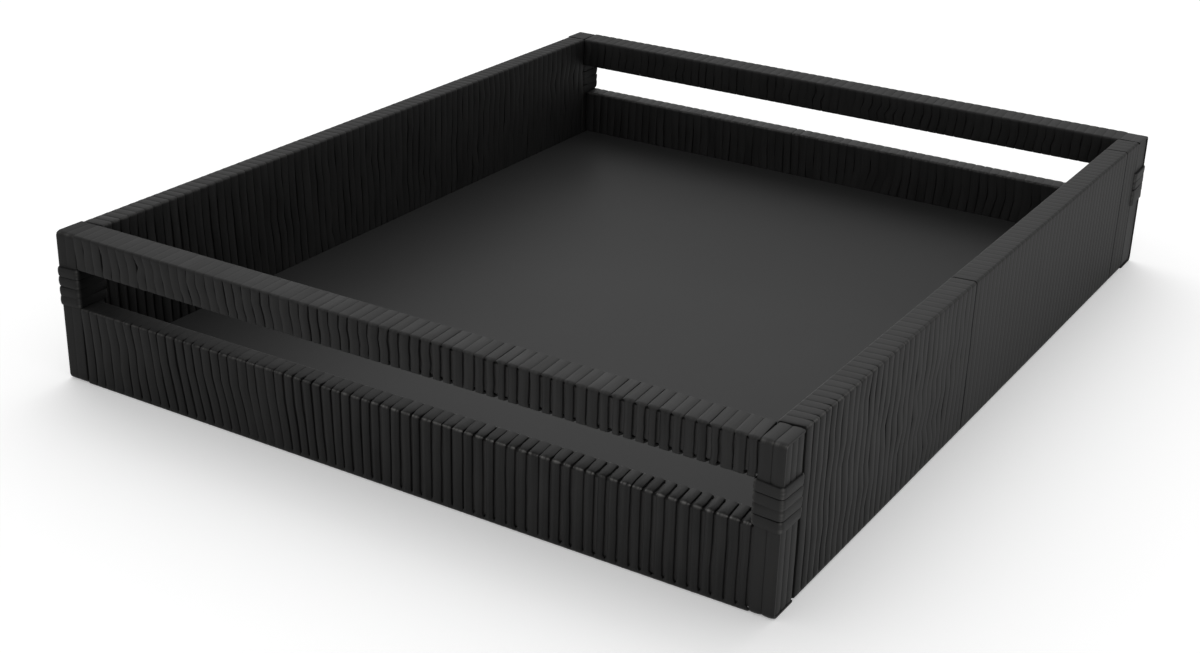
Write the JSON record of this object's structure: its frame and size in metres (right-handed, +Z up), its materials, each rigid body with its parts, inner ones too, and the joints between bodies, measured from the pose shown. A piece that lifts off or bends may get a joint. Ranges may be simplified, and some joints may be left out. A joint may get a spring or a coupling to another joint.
{
  "type": "wicker serving tray",
  "caption": "Rectangular black serving tray with upright walls wound in flat reed, a smooth base panel and a long hand slot through each end wall.",
  "frame": {"origin": "middle of the tray on the surface that it stands on", "axes": "+Z up, +X along the handle walls to the right, +Y from the front handle wall to the back one"},
  "size_m": [0.3824, 0.4626, 0.076],
  "materials": {
    "reed": "flat reed, stained black, satin lacquer",
    "board": "planed softwood, stained black",
    "base": "smooth board, satin black lacquer",
    "cleat": "planed softwood, stained black",
    "screw": "zinc plated steel"
  },
  "bodies": {
    "root": {"base_panel": "base", "front_cleat": "cleat", "back_cleat": "cleat", "left_cleat": "cleat", "right_cleat": "cleat", "front_handle_rail": "board", "front_handle_winding": "reed", "front_lower_rail": "board", "front_lower_winding": "reed", "front_left_stile": "board", "front_left_cover_strip_1": "reed", "front_left_cover_strip_2": "reed", "front_left_end_strip_1": "reed", "front_left_end_strip_2": "reed", "front_left_end_strip_3": "reed", "front_left_binding": "reed", "front_left_upper_screw": "screw", "front_left_lower_screw": "screw", "front_right_stile": "board", "front_right_cover_strip_1": "reed", "front_right_cover_strip_2": "reed", "front_right_end_strip_1": "reed", "front_right_end_strip_2": "reed", "front_right_end_strip_3": "reed", "front_right_binding": "reed", "front_right_upper_screw": "screw", "front_right_lower_screw": "screw", "back_handle_rail": "board", "back_handle_winding": "reed", "back_lower_rail": "board", "back_lower_winding": "reed", "back_left_stile": "board", "back_left_cover_strip_1": "reed", "back_left_cover_strip_2": "reed", "back_left_end_strip_1": "reed", "back_left_end_strip_2": "reed", "back_left_end_strip_3": "reed", "back_left_binding": "reed", "back_left_upper_screw": "screw", "back_left_lower_screw": "screw", "back_right_stile": "board", "back_right_cover_strip_1": "reed", "back_right_cover_strip_2": "reed", "back_right_end_strip_1": "reed", "back_right_end_strip_2": "reed", "back_right_end_strip_3": "reed", "back_right_binding": "reed", "back_right_upper_screw": "screw", "back_right_lower_screw": "screw", "right_side_board": "board", "right_side_winding": "reed", "left_side_board": "board", "left_side_winding": "reed"}
  },
  "joints": []
}
